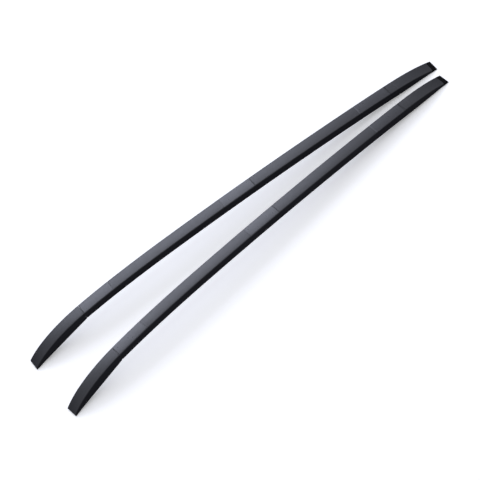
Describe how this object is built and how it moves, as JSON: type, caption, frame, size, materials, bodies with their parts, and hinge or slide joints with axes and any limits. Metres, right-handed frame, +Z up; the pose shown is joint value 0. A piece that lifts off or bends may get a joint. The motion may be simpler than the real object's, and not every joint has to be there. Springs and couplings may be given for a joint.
{
  "type": "pair of roof rail bars",
  "caption": "Pair of long, low, gently arched roof rail bars in satin black, with tapered end pieces, flush access covers and rubber bases.",
  "frame": {"origin": "middle of the pair's footprint, on the plane that the ends of both bars stand on", "axes": "+X runs along the pair from the front ends to the rear ends, +Y to the right bar, +Z up"},
  "size_m": [1.6812, 0.3214, 0.0908],
  "materials": {
    "coat": "satin black powder coat on an aluminium extrusion",
    "moulding": "fine-grained satin black moulding",
    "rubber": "matt black rubber",
    "zinc": "zinc-plated steel"
  },
  "bodies": {
    "root": {"left_rail": "coat", "left_front_foot": "moulding", "left_rear_cap": "moulding", "left_front_cover": "moulding", "left_middle_cover": "moulding", "left_rear_cover": "moulding", "left_front_plate": "zinc", "left_middle_plate": "zinc", "left_rear_plate": "zinc", "left_base_gasket": "rubber", "left_front_pad": "rubber", "left_rear_pad": "rubber", "left_end_screws": "zinc", "left_plate_rivets": "zinc", "right_rail": "coat", "right_front_foot": "moulding", "right_rear_cap": "moulding", "right_front_cover": "moulding", "right_middle_cover": "moulding", "right_rear_cover": "moulding", "right_front_plate": "zinc", "right_middle_plate": "zinc", "right_rear_plate": "zinc", "right_base_gasket": "rubber", "right_front_pad": "rubber", "right_rear_pad": "rubber", "right_end_screws": "zinc", "right_plate_rivets": "zinc"}
  },
  "joints": []
}
